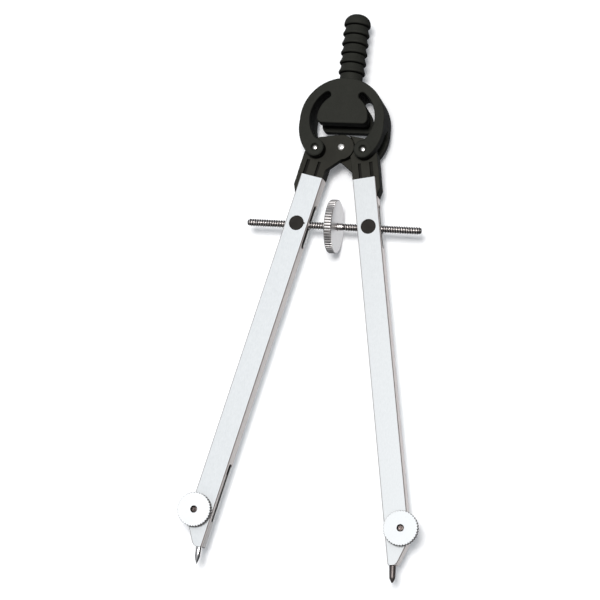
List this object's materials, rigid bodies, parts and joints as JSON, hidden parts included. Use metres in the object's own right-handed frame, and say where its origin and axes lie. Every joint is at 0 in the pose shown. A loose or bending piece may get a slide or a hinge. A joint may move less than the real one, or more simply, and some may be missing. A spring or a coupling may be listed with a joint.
{
  "type": "drawing compass",
  "caption": "Drawing compass with a ribbed handle, ring-shaped spring head, channel legs, threaded spindle with a centre thumbwheel, and clamped needle and lead.",
  "frame": {"origin": "midway between the needle point and the lead point, in the plane they stand on, with the legs as stored", "axes": "+Z towards the handle, +X across the legs towards the lead leg, -Y out of the front face"},
  "size_m": [0.072, 0.0162, 0.1715],
  "materials": {
    "black_plastic": "fine matt moulded grain",
    "nut_plastic": "matt moulded",
    "satin_leg": "satin, fine grain along the leg",
    "spindle_steel": "cut thread, slightly oily",
    "wheel_metal": "satin nickel with a straight knurl",
    "knob_metal": "bright nickel with a straight knurl",
    "pin_steel": "bright steel",
    "screw_steel": "turned steel",
    "block_metal": "machined",
    "needle_steel": "ground and polished",
    "graphite": "semi-matt graphite"
  },
  "bodies": {
    "head": {"head_frame": "black_plastic", "left_arm_pin": "pin_steel", "right_arm_pin": "pin_steel"},
    "pivot": {"centre_rivet": "pin_steel"},
    "left_leg": {"left_bracket": "black_plastic", "left_leg_channel": "satin_leg", "left_clamp_block": "block_metal", "left_clamp_screw": "screw_steel"},
    "right_leg": {"right_bracket": "black_plastic", "right_leg_channel": "satin_leg", "right_clamp_block": "block_metal", "right_clamp_screw": "screw_steel"},
    "left_nut_body": {"left_nut": "nut_plastic"},
    "right_nut_body": {"right_nut": "nut_plastic"},
    "spindle_body": {"spindle": "spindle_steel"},
    "wheel": {"thumbwheel": "wheel_metal"},
    "left_knob": {"left_clamp_knob": "knob_metal"},
    "right_knob": {"right_clamp_knob": "knob_metal"},
    "needle_body": {"needle": "needle_steel"},
    "lead_body": {"lead": "graphite"}
  },
  "joints": [
    {"name": "pivot_shift", "type": "slide", "parent": "head", "child": "pivot", "axis": [0, 0, 1], "range_m": [-0.00311, 0.00158]},
    {"name": "left_leg_swing", "type": "hinge", "parent": "pivot", "child": "left_leg", "pos_m": [0, 0, 0.12836], "axis": [0, 1, 0], "range_deg": [-12.2, 24]},
    {"name": "right_leg_swing", "type": "hinge", "parent": "pivot", "child": "right_leg", "pos_m": [0, 0, 0.12836], "axis": [0, -1, 0], "range_deg": [-12.22, 24.02]},
    {"name": "left_nut_turn", "type": "hinge", "parent": "left_leg", "child": "left_nut_body", "pos_m": [-0.01112, 0, 0.10405], "axis": [0, -1, 0], "range_deg": [-12.22, 24.02]},
    {"name": "right_nut_turn", "type": "hinge", "parent": "right_leg", "child": "right_nut_body", "pos_m": [0.01112, 0, 0.10405], "axis": [0, 1, 0], "range_deg": [-12.22, 24.02]},
    {"name": "spindle_travel", "type": "slide", "parent": "left_nut_body", "child": "spindle_body", "axis": [1, 0, 0], "range_m": [-0.00495, 0.00972]},
    {"name": "thumbwheel_turn", "type": "hinge", "parent": "spindle_body", "child": "wheel", "pos_m": [0, 0, 0.10405], "axis": [1, 0, 0], "range_deg": [-2319, 4559]},
    {"name": "left_knob_turn", "type": "hinge", "parent": "left_leg", "child": "left_knob", "pos_m": [-0.03095, -0.0034, 0.01538], "axis": [0, -1, 0], "range_deg": [0, 540]},
    {"name": "right_knob_turn", "type": "hinge", "parent": "right_leg", "child": "right_knob", "pos_m": [0.03095, -0.0034, 0.01538], "axis": [0, -1, 0], "range_deg": [0, 540]},
    {"name": "needle_slide", "type": "slide", "parent": "left_leg", "child": "needle_body", "axis": [-0.0454, 0, -0.999], "range_m": [-0.004, 0.003]},
    {"name": "lead_slide", "type": "slide", "parent": "right_leg", "child": "lead_body", "axis": [0.0715, 0, -0.9974], "range_m": [-0.004, 0.003]}
  ],
  "couplings": [
    {"joint": "pivot_shift", "follows": "left_leg_swing", "m_per_rad": -0.0073916},
    {"joint": "right_leg_swing", "follows": "left_leg_swing", "ratio": 1},
    {"joint": "left_nut_turn", "follows": "left_leg_swing", "ratio": 1},
    {"joint": "right_nut_turn", "follows": "left_leg_swing", "ratio": 1},
    {"joint": "spindle_travel", "follows": "left_leg_swing", "m_per_rad": 0.023159},
    {"joint": "thumbwheel_turn", "follows": "left_leg_swing", "ratio": 189.83}
  ]
}
